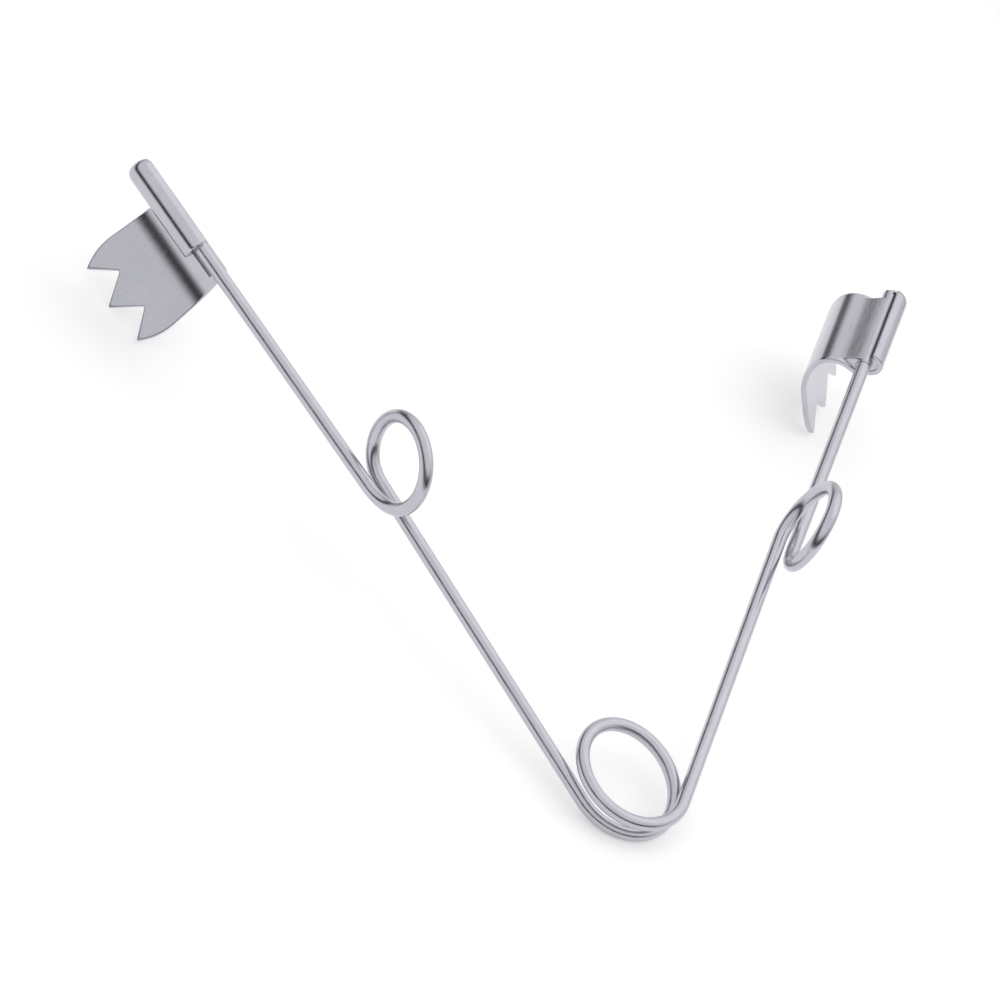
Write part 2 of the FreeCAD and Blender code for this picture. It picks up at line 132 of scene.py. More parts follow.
def new_piece(name: str, points: Array, faces: list[Array], chart: Array) -> bpy.types.Object:
    """Make a mesh object from points, faces and a flat chart of its surface.

    Args:
        name: Name of the object.
        points: Vertices in metres, in the frame of the scene.
        faces: Arrays of corner numbers, each array with its own corner count.
        chart: Two surface lengths in millimetres for each corner of each face in turn.

    Returns:
        The object, at the origin and not turned.
    """
    mesh = bpy.data.meshes.new(name)
    mesh.from_pydata(points.tolist(), [], [f for part in faces for f in part.tolist()])
    layer = mesh.uv_layers.new(name="surface")
    layer.data.foreach_set("uv", chart.astype(np.float32).ravel())
    mesh.shade_smooth()
    mesh.set_sharp_from_angle(angle=SHARP_EDGE)
    piece = bpy.data.objects.new(name, mesh)
    bpy.context.scene.collection.objects.link(piece)
    return piece


@dataclass
class WirePath:
    """Centre line of a stretch of wire with a cross direction at each place."""

    centre: Array
    along: Array
    cross: Array

    def part(self, first: int, last: int) -> "WirePath":
        """The stretch from one place to another, both taken in."""
        span = slice(first, last + 1)
        return WirePath(self.centre[span], self.along[span], self.cross[span])

    def lengths(self) -> Array:
        """Length of wire from the start to each place."""
        steps = np.linalg.norm(np.diff(self.centre, axis=0), axis=1)
        return np.concatenate([[0.0], np.cumsum(steps)])


@dataclass(frozen=True)
class SpringWire:
    """The round wire that the whole spring is wound from."""

    diameter: float = 1.2
    facets: int = 40
    end_round: float = 0.35
    end_share: float = 0.98

    def piece(
        self, name: str, path: WirePath, pose: RestPose, start_length: float = 0.0, free_end: bool = False,
    ) -> bpy.types.Object:
        """Round bar along a path, closed at both ends.

        A surface point is the centre line plus the radius times the cosine of the
        angle in the cross direction and its sine at right angles to it.

        Args:
            name: Name of the piece.
            path: Centre line in millimetres of the V.
            pose: Where the V lies.
            start_length: Length of wire before this piece, so that its grain runs on.
            free_end: Whether the last end is rounded, as a quarter ellipse.

        Returns:
            The piece, charted by length along the wire and length round it.
        """
        n = self.facets
        angle = np.arange(n) * 2 * math.pi / n
        radius = self.diameter / 2
        normal = path.cross[:, None, :]
        side = np.cross(path.along, path.cross)[:, None, :]
        ring = np.cos(angle)[None, :, None] * normal + np.sin(angle)[None, :, None] * side
        left = path.lengths()[-1] - path.lengths()
        near_end = np.clip(1 - left / self.end_round, 0.0, self.end_share)
        radii = radius * np.sqrt(1 - near_end ** 2) if free_end else np.full(len(path.centre), radius)
        skin = path.centre[:, None, :] + radii[:, None, None] * ring
        count = len(path.centre)
        points = np.concatenate([skin.reshape(-1, 3), path.centre[[0, -1]]])
        wall = quads(count - 1, n, n)
        here, after = np.arange(n), (np.arange(n) + 1) % n
        last = (count - 1) * n
        first_cap = np.stack([np.full(n, count * n), after, here], axis=1)
        last_cap = np.stack([np.full(n, count * n + 1), last + here, last + after], axis=1)

        u = start_length + path.lengths()
        v = np.arange(n + 1) * 2 * math.pi * radius / n
        i, j = np.meshgrid(np.arange(count - 1), np.arange(n), indexing="ij")
        corners = [(i, j), (i, j + 1), (i + 1, j + 1), (i + 1, j)]
        wall_chart = np.stack([np.stack([u[a], v[b]], axis=-1) for a, b in corners], axis=2)
        cap_chart = np.zeros((2 * n * 3, 2))
        chart = np.concatenate([wall_chart.reshape(-1, 2), cap_chart])
        return new_piece(name, pose.world(points), [wall, first_cap, last_cap], chart)


@dataclass
class Coil:
    """A coil of the spring, from the wire that enters it to the wire that leaves it."""

    middle: Array
    first_radial: Array
    next_radial: Array
    axis: Array
    radius: float
    total: float
    span: float
    enter: Array
    leave: Array
    run_in: float = math.radians(28.6)

    def path(self, count: int) -> WirePath:
        """Centre line of the coil.

        At each angle the line lies at the radius from the axis. Its height rises evenly,
        apart from both ends, where the slope goes over to that of the straight wire as
        a bell curve, so the height there is the even rise plus an error function.

        Args:
            count: Number of places, evenly spread over the turn.

        Returns:
            The path, with the direction away from the axis as its cross direction.
        """
        angle = np.linspace(0.0, self.total, count)
        left = self.total - angle
        first = self.slope_of(self.enter)
        last = self.slope_of(self.leave)
        area = self.run_in * math.sqrt(math.pi) / 2
        even = (self.span - area * (first + last)) / (self.total - 2 * area)
        erf = np.vectorize(math.erf)
        height = even * angle + (first - even) * area * erf(angle / self.run_in)
        height += (last - even) * area * (1 - erf(left / self.run_in))
        slope = even + (first - even) * np.exp(-(angle / self.run_in) ** 2)
        slope += (last - even) * np.exp(-(left / self.run_in) ** 2)
        radial = np.outer(np.cos(angle), self.first_radial) + np.outer(np.sin(angle), self.next_radial)
        round_it = np.outer(np.cos(angle), self.next_radial) - np.outer(np.sin(angle), self.first_radial)
        centre = self.middle + self.radius * radial + np.outer(height, self.axis)
        along = self.radius * round_it + np.outer(slope, self.axis)
        along /= np.linalg.norm(along, axis=1)[:, None]
        return WirePath(centre, along, radial)

    def slope_of(self, direction: Array) -> float:
        """Rise along the axis per unit of turn of a straight wire tangent to the coil."""
        rise = direction @ self.axis
        return self.radius * rise / math.sqrt(1 - rise ** 2)


@dataclass
class SpringSide:
    """One arm of the spring: lower arm, side coil and upper arm."""

    side: Side
    coil_radius: float
    coil_lean: float
    coil_tip: float
    upper_length: float
    opening: float = 57.0
    centre_radius: float = 4.9
    centre_span: float = 2.34
    lower_length: float = 31.65
    lower_droop: float = 1.4
    upper_angle: float = 30.0
    upper_droop: float = 3.5
    coil_span: float = 1.45
    close_end: float = 0.4

    def __post_init__(self) -> None:
        """Work out the directions and turning points of this arm in the V."""
        sign = self.side.value
        half, sag = math.radians(self.opening / 2), math.radians(self.lower_droop)
        self.up = self.sloping(sign * math.sin(half), math.cos(half), sag)
        r = self.centre_radius
        self.start = np.array([sign * r * math.cos(half), -r * math.sin(half), sign * self.centre_span / 2])
        self.knee = self.start + self.up * self.lower_length
        lean, tip = math.radians(self.coil_lean), math.radians(self.coil_tip)
        self.axis = self.sloping(sign * math.cos(lean), -math.sin(lean), tip)
        self.tangent = unit(self.up - self.axis * (self.up @ self.axis))
        bulge = unit(np.cross(self.tangent, self.axis))
        self.bulge = bulge if bulge[2] > 0 else -bulge
        angle, droop = math.radians(self.upper_angle), math.radians(self.upper_droop)
        self.top = self.sloping(sign * math.sin(angle), math.cos(angle), droop)
        self.turn = 2 * math.pi + math.atan2(self.top @ self.bulge, self.top @ self.tangent)
        self.middle = self.knee + self.bulge * self.coil_radius
        around = self.tangent * math.sin(self.turn) - self.bulge * math.cos(self.turn)
        self.leave = self.middle + around * self.coil_radius + self.axis * self.coil_span
        self.end = self.leave + self.top * self.upper_length

    @staticmethod
    def sloping(x: float, y: float, droop: float) -> Array:
        """Direction that is level along x and y, tipped down by an angle in radians."""
        return np.array([x * math.cos(droop), y * math.cos(droop), -math.sin(droop)])

    @property
    def lower_body(self) -> str:
        """Body of the lower arm."""
        return self.side.word + "_lower"

    @property
    def upper_body(self) -> str:
        """Body of the upper arm with its blade."""
        return self.side.word + "_upper"

    def straight(self, start: Array, direction: Array, length: float) -> WirePath:
        """Straight stretch of wire as a path whose places come close together at its end."""
        even = np.linspace(0.0, length - self.close_end, 24)[:-1]
        close = length - self.close_end * np.cos(np.linspace(0.0, math.pi / 2, 12))
        far = np.concatenate([even, close])
        cross = unit(np.cross(direction, np.array([1.0, 0.0, 0.0])))
        centre = start + np.outer(far, direction)
        count = len(far)
        return WirePath(centre, np.tile(direction, (count, 1)), np.tile(cross, (count, 1)))

    def coil(self) -> Coil:
        """The side coil between the two arms."""
        return Coil(self.middle, -self.bulge, self.tangent, self.axis, self.coil_radius,
                    self.turn, self.coil_span, self.up, self.top)


@dataclass
class CoilPieces:
    """A coil cut into short pieces of the same wire.

    When the spring works, a coil winds up evenly along its wire.
    """

    wire: SpringWire
    pose: RestPose
    finish: bpy.types.Material

    def make(
        self, node: str, word: str, path: WirePath, shares: tuple[float, float],
        pieces: int,
    ) -> None:
        """Build the pieces of one stretch of coil.

        Args:
            node: The CAD node that the pieces stand for.
            word: Start of the pieces' names.
            path: Centre line, with its number of places one more than a multiple of pieces.
            shares: Share of the turn at the start and at the end of the path.
            pieces: Number of pieces.
        """
        step = (len(path.centre) - 1) // pieces
        lengths = path.lengths()
        for k in range(pieces):
            part = path.part(k * step, (k + 1) * step)
            piece = self.wire.piece(f"{word}_{k + 1}", part, self.pose, float(lengths[k * step]))
            piece.data.materials.append(self.finish)
            low = shares[0] + (shares[1] - shares[0]) * k / pieces
            high = shares[0] + (shares[1] - shares[0]) * (k + 1) / pieces
            a, b = self.pose.world(part.centre[[0, -1]])
            if low > high:
                low, high, a, b = high, low, b, a
            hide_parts(node)
            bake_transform(piece)
        LOG.info("%s in %d pieces", word, pieces)

    @staticmethod
    def blend_ends(a: Array, b: Array, low: float, high: float) -> tuple[Array, Array]:
        """Start and end of a smooth blend that has two given shares at two points.

        The blend's share is 3 t squared minus 2 t cubed, so t is a half minus the
        sine of a third of the arc sine of one minus twice the share.

        Args:
            a: Point with the lower share.
            b: Point with the higher share.
            low: Share at a.
            high: Share at b.

        Returns:
            The start and the end of the blend, on the line through a and b.
        """
        t = 0.5 - np.sin(np.arcsin(1 - 2 * np.clip([low, high], 0, 1)) / 3)
        reach = (b - a) / (t[1] - t[0])
        start = a - reach * t[0]
        return start, start + reach


@dataclass(frozen=True)
class BladeSection:
    """Section of a blade across the wire, as the heading of the middle of the sheet.

    From the free lip the sheet rolls round the wire, runs flat under it, bends down
    tightly, sweeps outward in a wide curve and ends in a straight run to the teeth.
    """

    thickness: float = 0.5
    roll_inside: float = 0.75
    roll_out: float = 0.4
    roll_up: float = -0.08
    lip_angle: float = 107.0
    bend_start: float = -0.95
    bend_radius: float = 1.97
    sweep_radius: float = 5.5
    sweep_angle: float = 40.0
    run: float = 7.0

    @property
    def roll_radius(self) -> float:
        """Radius of the roll at the middle of the sheet."""
        return self.roll_inside + self.thickness / 2

    def runs(self) -> tuple[Array, Array]:
        """Length and bending of each run of the section, from the lip to the teeth."""
        angles = np.radians([90 + self.lip_angle, 90.0, self.sweep_angle])
        lengths = [
            angles[0] * self.roll_radius, self.roll_out - self.bend_start,
            angles[1] * self.bend_radius, angles[2] * self.sweep_radius, self.run,
        ]
        bends = [-1 / self.roll_radius, 0.0, 1 / self.bend_radius, 1 / self.sweep_radius, 0.0]
        return np.array(lengths), np.array(bends)

    def at(self, s: Array) -> tuple[Array, Array, Array]:
        """Points of the section at lengths along it.

        Within a run the heading is the run's first heading plus bending times length,
        and the chord from the run's start is the length times the sine of half the
        turn over half the turn, at half the turn from the first heading.

        Args:
            s: Lengths from the lip, of any shape.

        Returns:
            Distance outward, height, and heading, each of the shape of s.
        """
        lengths, bends = self.runs()
        starts = np.concatenate([[0.0], np.cumsum(lengths)[:-1]])
        lip = math.radians(self.lip_angle)
        headings = lip - math.pi / 2 + np.concatenate([[0.0], np.cumsum(lengths * bends)[:-1]])
        turns = lengths * bends
        chords = lengths * np.sinc(turns / (2 * math.pi))
        x0 = self.roll_out + self.roll_radius * math.cos(lip)
        y0 = self.roll_up + self.roll_radius * math.sin(lip)
        xs = x0 + np.concatenate([[0.0], np.cumsum(chords * np.cos(headings + turns / 2))[:-1]])
        ys = y0 + np.concatenate([[0.0], np.cumsum(chords * np.sin(headings + turns / 2))[:-1]])
        run = np.clip(np.searchsorted(starts, s, side="right") - 1, 0, len(starts) - 1)
        u = s - starts[run]
        turn = bends[run] * u
        chord = u * np.sinc(turn / (2 * math.pi))
        x = xs[run] + chord * np.cos(headings[run] + turn / 2)
        y = ys[run] + chord * np.sin(headings[run] + turn / 2)
        return x, y, headings[run] + turn


@dataclass
class Blade:
    """One toothed blade, bent from sheet and rolled round the end of the upper arm."""

    arm: SpringSide
    pose: RestPose
    section: BladeSection
    leaf_middle: float
    tooth_shift: float
    roll_length: float = 8.8
    overhang: float = 0.3
    leaf_width: float = 8.6
    leaf_flare: float = 0.3
    shoulder: float = 5.6
    tooth_pitch: float = 3.7
    middle_reach: float = 9.2
    outer_reach: float = 8.85
    root: float = 6.74
    tip_half: float = 0.06
    notch_round: float = 0.12
    edge_round: float = 0.13
    end_round: float = 0.9
    end_draw: float = 0.55
    width_step: float = 0.02
    plain_run: float = 2.6

    def place(self, x: Array, y: Array, along: Array) -> Array:
        """Points of the blade in metres of the scene.

        Args:
            x: Distance outward of the wire's axis.
            y: Height above the wire's axis.
            along: Distance past the end of the wire.

        Returns:
            The points, with one more axis of three.
        """
        v = self.arm.top
        lifted = unit(np.array([0.0, 0.0, 1.0]) - v * v[2])
        outward = np.cross(lifted, v) * -self.arm.side.value
        spot = x[..., None] * outward + y[..., None] * lifted + along[..., None] * v
        return self.pose.world(self.arm.end + spot)

    def half_width(self, q: Array) -> Array:
        """Half the leaf's width at a reach: a straight flare, then a round shoulder.

        The shoulder is a circle that leaves the flare without a kink and ends at the
        outer corner of the outer tooth.
        """
        slope = self.leaf_flare / self.shoulder
        heading = math.atan(slope)
        start = np.array([self.shoulder, self.leaf_width / 2 + self.leaf_flare])
        corner = np.array([self.outer_reach, self.tooth_pitch + self.tip_half]) - start
        inward = np.array([math.sin(heading), -math.cos(heading)])
        radius = (corner @ corner) / (2 * corner @ inward)
        centre = start + inward * radius
        across = np.clip(q - centre[0], -radius, radius)
        shoulder = centre[1] + np.sqrt(radius ** 2 - across ** 2)
        return np.where(q < self.shoulder, self.leaf_width / 2 + slope * q, shoulder)

    def tooth_line(self, z: Array) -> Array:
        """Reach at which the leaf ends, at distances across it from its middle.

        Straight lines run between the tips of three teeth and two narrow notches.
        """
        gap = self.tooth_pitch / 2
        pitch, tip, corner = self.tooth_pitch, self.tip_half, self.notch_round
        places = [0.0, tip, gap - corner, gap, gap + corner, pitch - tip, pitch + tip]
        middle, outer, low = self.middle_reach, self.outer_reach, self.root + corner
        return np.interp(np.abs(z), places, [middle, middle, low, self.root, low, outer, outer])

    def rim(self) -> tuple[Array, Array]:
        """Inset and half thickness of the sheet over its rounded edge, from inside out.

        The edge is a quarter circle followed by the flat of the cut.
        """
        e, half = self.edge_round, self.section.thickness / 2
        a = np.radians([90.0, 60.0, 30.0, 0.0])
        inset = np.concatenate([e - e * np.cos(a), [0.0]])
        height = np.concatenate([half - e + e * np.sin(a), [0.0]])
        return inset, height

    def columns(self) -> tuple[Array, Array, Array]:
        """Columns across the sheet: share of the width, inset from it, half thickness."""
        wide = float(self.half_width(np.array(self.root)))
        gap, corner = self.tooth_pitch / 2, self.notch_round
        keys = [
            0.0, self.tip_half / wide, (gap - corner) / wide, gap / wide, (gap + corner) / wide,
            (self.tooth_pitch - self.tip_half) / (self.tooth_pitch + self.tip_half), 1.0,
        ]
        counts = [1, 14, 1, 1, 20, 1]
        runs = [np.linspace(a, b, n, endpoint=False) for a, b, n in zip(keys, keys[1:], counts)]
        share = np.concatenate(runs + [[1.0]])
        share = np.concatenate([-share[:0:-1], share])
        inset, height = self.rim()
        full = np.full(len(share), self.section.thickness / 2)
        rims = len(inset) - 1
        shares = np.concatenate([-np.ones(rims), share, np.ones(rims)])
        insets = np.concatenate([inset[:0:-1], np.full(len(share), self.edge_round), inset[1:]])
        heights = np.concatenate([height[:0:-1], full, height[1:]])
        return shares, insets, heights

    def surface(self) -> tuple[Array, Array, Array, Array]:
        """Middle surface of the sheet, its heading and its half thickness.

        One direction of the grid runs along the section from the lip to the teeth, the
        other across the blade. In the roll a row is as wide as the roll, and further on
        as wide as the leaf. A last stretch of rows shares out what each column has left
        to the line of the teeth.

        Returns:
            Lengths along the section, distances past the wire's end, reach and half
            thickness, all on the same grid.
        """
        share, inset, high = self.columns()
        lengths, _ = self.section.runs()
        _, flat, bend, sweep, _ = lengths
        ends = np.cumsum(lengths)
        rim_in, rim_high = self.rim()
        e, step, half_thick = self.edge_round, self.width_step, self.section.thickness / 2
        fixed = np.concatenate([
            rim_in[::-1], np.linspace(e, ends[0] - step, 44)[1:], ends[0] + np.linspace(step, flat, 6),
            ends[1] + np.linspace(0, bend, 30)[1:], ends[2] + np.linspace(0, sweep, 20)[1:],
            ends[3] + np.linspace(0, self.plain_run, 8)[1:],
        ])
        row_high = np.concatenate([rim_high[::-1], np.full(len(fixed) - len(rim_high), half_thick)])
        s = np.repeat(fixed[:, None], len(share), axis=1)
        x, y, _ = self.section.at(ends[3] + np.array([0.0, 1.0]))
        reach = (x - y) / math.sqrt(2)
        q_run, gain = reach[0], reach[1] - reach[0]
        q_end = np.full(len(share), self.root)
        for _ in range(40):
            z = share * (self.half_width(q_end) - e)
            z = np.where(np.abs(share) < 1, z, np.sign(share) * (self.half_width(q_end) - inset))
            q_end = self.tooth_line(z)
        s_end = ends[3] + (q_end - q_run) / gain
        grow = np.linspace(0, 1, 16)[1:, None]
        inner = fixed[-1] + (s_end - e - fixed[-1]) * grow
        outer = s_end - rim_in[1:, None]
        s = np.concatenate([s, inner, outer])
        row_high = np.concatenate([row_high, np.full(len(inner), half_thick), rim_high[1:]])

        x, y, _ = self.section.at(s)
        q = (x - y) / math.sqrt(2)
        leaf = np.sign(share) * (self.half_width(q) - inset)
        leaf = np.where(np.abs(share) < 1, share * (self.half_width(q) - e), leaf)
        leaf += self.tooth_shift * q / self.outer_reach - self.leaf_middle
        half = self.roll_length / 2
        rolled = np.where(np.abs(share) < 1, share * (half - e), np.sign(share) * (half - inset))
        rolled = np.broadcast_to(rolled + self.overhang - half, s.shape)
        along = np.where(s < ends[0], rolled, leaf)
        return s, along, q, np.minimum(row_high[:, None], high[None, :])

    def spun_in(self, s: Array, along: Array) -> Array:
        """How far the rolled edge is drawn in toward its middle near the wire's end.

        It follows a quarter of an ellipse, on the roll alone.
        """
        left = np.clip(1 - (self.overhang - along) / self.end_round, 0.0, 1.0)
        rolled = s < self.section.runs()[0][0]
        return np.where(rolled, self.end_draw * (1 - np.sqrt(1 - left ** 2)), 0.0)

    def piece(self, name: str) -> bpy.types.Object:
        """The blade as a closed sheet, charted by length along the section and across."""
        s, along, _, high = self.surface()
        x, y, heading = self.section.at(s)
        drawn = self.spun_in(s, along)
        x = x + drawn * np.sin(heading)
        y = y - drawn * np.cos(heading)
        nx, ny = -np.sin(heading), np.cos(heading)
        above = self.place(x + nx * high, y + ny * high, along).reshape(-1, 3)
        below = self.place(x - nx * high, y - ny * high, along).reshape(-1, 3)
        rows, columns = s.shape
        top = quads(rows - 1, columns - 1, columns)
        edge = np.zeros((rows, columns), bool)
        edge[[0, -1]] = True
        edge[:, [0, -1]] = True
        under_number = np.where(edge.ravel(), np.arange(rows * columns), 0)
        inner = ~edge.ravel()
        under_number[inner] = rows * columns + np.arange(inner.sum())
        under = under_number[top][:, ::-1]
        points = np.concatenate([above, below[inner]])
        flat = np.stack([s, along], axis=-1).reshape(-1, 2)
        chart = np.concatenate([flat[top].reshape(-1, 2), flat[top][:, ::-1].reshape(-1, 2)])
        faces = [top, under]
        if self.arm.side is Side.LEFT:
            faces = [top[:, ::-1], under[:, ::-1]]
            chart = np.concatenate([flat[top][:, ::-1].reshape(-1, 2), flat[top].reshape(-1, 2)])
        return new_piece(name, points, faces, chart)


@dataclass
class Solder:
    """Silver solder that fills the rolled edge round the wire and closes its end.

    Where the leaf lies beside the rolled edge, the solder is smoothed from the top of
    the wire down into the leaf. Along the free lip it leaves a narrow dark groove.
    """

    blade: Blade
    length: float = 8.4
    tail: float = 0.0
    lip_angle: float = 92.0
    cover: float = 0.66
    cover_start: float = 100.0
    full_leave: float = 128.0
    bare_leave: float = 236.0
    full_toe: float = -2.0
    bare_toe: float = -0.1
    taper: float = 0.5
    wire_pull: float = 0.75
    leaf_pull: float = 0.6
    groove: tuple[float, float] = (0.12, 0.3)
    sunk: float = 0.02
    dome: float = 0.3

    def bed(self, x: Array) -> Array:
        """Height of the solder's underside: the flat, or the circle of the bend."""
        section = self.blade.section
        floor = section.roll_up - section.roll_inside
        r = section.bend_radius + section.thickness / 2
        fall = r - np.sqrt(r ** 2 - np.minimum(x - section.bend_start, 0.0) ** 2)
        return floor - fall - self.sunk

    def outline(self, full: float, rolled: float) -> tuple[Array, Array]:
        """Section of the solder as a closed outline.

        It follows the sheet from the toe to the roll, the inside of the roll up to the
        groove, the wire from the groove's other edge, and then a cubic curve that
        leaves the wire and meets the sheet at the toe without a kink.

        Args:
            full: Share of the full fillet, 0 where the solder only hugs the wire.
            rolled: 1 inside the rolled edge, 0 past its end, where it hugs the wire.

        Returns:
            Distances outward and heights of the outline's points.
        """
        section = self.blade.section
        toe = self.bare_toe + (self.full_toe - self.bare_toe) * full
        last = self.bare_leave + (self.full_leave - self.bare_leave) * full
        middle = np.array([section.roll_out, section.roll_up]) * rolled
        x_bed = np.linspace(toe, middle[0], 18)[:-1]
        a = np.radians(np.linspace(-90.0, self.lip_angle, 30))
        inside = self.cover + (section.roll_inside + self.sunk - self.cover) * rolled
        groove = (self.groove[0] * rolled, self.cover + (self.groove[1] - self.cover) * rolled)
        b = np.radians(np.linspace(self.cover_start, last, 14))
        wire_x, wire_y = self.cover * np.cos(b), self.cover * np.sin(b)
        leave = np.array([-math.sin(b[-1]), math.cos(b[-1])])
        p = np.array([wire_x[-1], wire_y[-1]])
        ends = np.array([toe, toe - 0.05])
        q, beyond = np.stack([ends, self.bed(ends) + self.sunk], axis=1)
        meet = unit(beyond - q)
        gap = float(np.linalg.norm(q - p))
        pull = np.array([self.wire_pull, self.leaf_pull]) * min(1.0, gap)
        t = np.linspace(0.0, 1.0, 16)[1:, None]
        fair = (1 - t) ** 3 * p + 3 * t * (1 - t) ** 2 * (p + pull[0] * leave)
        fair += 3 * t ** 2 * (1 - t) * (q - pull[1] * meet) + t ** 3 * q
        x = [x_bed, middle[0] + inside * np.cos(a), [groove[0]], wire_x, fair[:, 0]]
        y = [self.bed(x_bed), middle[1] + inside * np.sin(a), [groove[1]], wire_y, fair[:, 1]]
        return np.concatenate(x), np.concatenate(y)

    def fullness(self, along: Array) -> Array:
        """Share of the full fillet, which falls smoothly to 0 at each end of the leaf."""
        blade = self.blade
        near = -blade.leaf_middle + blade.leaf_width / 2
        far = -blade.leaf_middle - blade.leaf_width / 2
        t = np.clip(np.minimum(near - along, along - far) / self.taper, 0.0, 1.0)
        return t * t * (3 - 2 * t)

    def run_piece(self, name: str) -> bpy.types.Object:
        """Bar of solder: its outline carried along the wire, closed at both ends."""
        rows = np.linspace(-self.length, -0.02, 90)
        if self.tail > 0:
            past = self.length + 2 * self.sunk
            rows = np.concatenate([np.linspace(-past - self.tail, -past, 16), rows])
        rolled = (rows > -self.length - self.sunk).astype(float)
        outlines = [self.outline(float(a), float(b)) for a, b in zip(self.fullness(rows), rolled)]
        x = np.stack([outline[0] for outline in outlines])
        y = np.stack([outline[1] for outline in outlines])
        count, around = x.shape
        points = self.blade.place(x, y, np.repeat(rows[:, None], around, axis=1)).reshape(-1, 3)
        ring = np.arange(around)[None, :]
        faces = [quads(count - 1, around, around), ring[:, ::-1], ring + (count - 1) * around]
        if self.blade.arm.side is Side.RIGHT:
            faces = [part[:, ::-1] for part in faces]
        flat = np.stack([np.repeat(rows, around), np.tile(np.linspace(0.0, 6.0, around), count)], axis=1)
        chart = np.concatenate([flat[part].reshape(-1, 2) for part in faces])
        return new_piece(name, points, faces, chart)

    def end_piece(self, name: str) -> bpy.types.Object:
        """Domed plug that closes the rolled edge past the end of the wire.

        It is a surface of revolution: a short straight wall, then a quarter ellipse.
        """
        section = self.blade.section
        n = 40
        a = np.linspace(0.0, math.pi / 2, 10)[:-1]
        radius = (section.roll_inside + self.sunk) * np.concatenate([[1.0], np.cos(a)])
        shoulder = self.blade.overhang - self.blade.edge_round
        height = np.concatenate([[0.0], shoulder + self.dome * np.sin(a)])
        angle = np.arange(n) * 2 * math.pi / n
        x = section.roll_out + np.outer(radius, np.cos(angle))
        y = section.roll_up + np.outer(radius, np.sin(angle))
        along = np.repeat(height[:, None], n, axis=1)
        skin = self.blade.place(x, y, along).reshape(-1, 3)
        centre_x = np.full(2, section.roll_out)
        centre_y = np.full(2, section.roll_up)
        poles = self.blade.place(centre_x, centre_y, np.array([0.0, shoulder + self.dome]))
        here, after = np.arange(n), (np.arange(n) + 1) % n
        last = (len(height) - 1) * n
        base = len(height) * n
        faces = [
            quads(len(height) - 1, n, n),
            np.stack([np.full(n, base), after, here], axis=1),
            np.stack([np.full(n, base + 1), last + here, last + after], axis=1),
        ]
        if self.blade.arm.side is Side.RIGHT:
            faces = [part[:, ::-1] for part in faces]
        chart = np.zeros((sum(part.size for part in faces), 2))
        return new_piece(name, np.concatenate([skin, poles]), faces, chart)


@dataclass(frozen=True)
class Steel:
    """Polished stainless steel with a faint grain along one direction of its chart."""

    name: str
    light: float
    dark: float
    smooth: float
    rough: float
    grain: float
    depth: float
    streak: float

    def material(self) -> bpy.types.Material:
        """Build the material.

        Stretched noise gives the grain that polishing leaves, and wide noise gives the
        cloudy change of gloss that handling and sterilising leave.

        Returns:
            The material, with metal's constants on the shader's own sockets.
        """
        made = bpy.data.materials.new(self.name)
        made.use_nodes = True
        nodes, links = made.node_tree.nodes, made.node_tree.links
        shader = nodes["Principled BSDF"]
        shader.inputs["Metallic"].default_value = 1.0
        place = nodes.new("ShaderNodeTexCoord")
        stretch = nodes.new("ShaderNodeMapping")
        stretch.inputs["Scale"].default_value = (0.12, 3.0, 1.0)
        links.new(place.outputs["UV"], stretch.inputs["Vector"])
        grain = nodes.new("ShaderNodeTexNoise")
        grain.inputs["Scale"].default_value = self.grain
        grain.inputs["Detail"].default_value = 6.0
        grain.inputs["Roughness"].default_value = 0.6
        links.new(stretch.outputs["Vector"], grain.inputs["Vector"])
        clouds = nodes.new("ShaderNodeTexNoise")
        clouds.inputs["Scale"].default_value = 260.0
        clouds.inputs["Detail"].default_value = 3.0
        links.new(place.outputs["Object"], clouds.inputs["Vector"])

        tone = nodes.new("ShaderNodeMix")
        tone.data_type = "RGBA"
        tone.inputs["A"].default_value = (self.dark, self.dark, self.dark * 1.1, 1.0)
        tone.inputs["B"].default_value = (self.light, self.light, self.light * 1.1, 1.0)
        links.new(clouds.outputs["Fac"], tone.inputs["Factor"])
        streak = nodes.new("ShaderNodeMapRange")
        streak.inputs["From Min"].default_value = 0.35
        streak.inputs["From Max"].default_value = 0.65
        streak.inputs["To Min"].default_value = self.streak
        streak.inputs["To Max"].default_value = 1.0
        links.new(grain.outputs["Fac"], streak.inputs["Value"])
        shaded = nodes.new("ShaderNodeVectorMath")
        shaded.operation = "SCALE"
        links.new(tone.outputs["Result"], shaded.inputs["Vector"])
        links.new(streak.outputs["Result"], shaded.inputs["Scale"])
        links.new(shaded.outputs["Vector"], shader.inputs["Base Color"])

        gloss = nodes.new("ShaderNodeMapRange")
        gloss.inputs["From Min"].default_value = 0.3
        gloss.inputs["From Max"].default_value = 0.7
        gloss.inputs["To Min"].default_value = self.smooth
        gloss.inputs["To Max"].default_value = self.rough
        links.new(grain.outputs["Fac"], gloss.inputs["Value"])
        links.new(gloss.outputs["Result"], shader.inputs["Roughness"])

        bump = nodes.new("ShaderNodeBump")
        bump.inputs["Strength"].default_value = self.depth
        bump.inputs["Distance"].default_value = 0.00002
        links.new(grain.outputs["Fac"], bump.inputs["Height"])
        links.new(bump.outputs["Normal"], shader.inputs["Normal"])
        return made


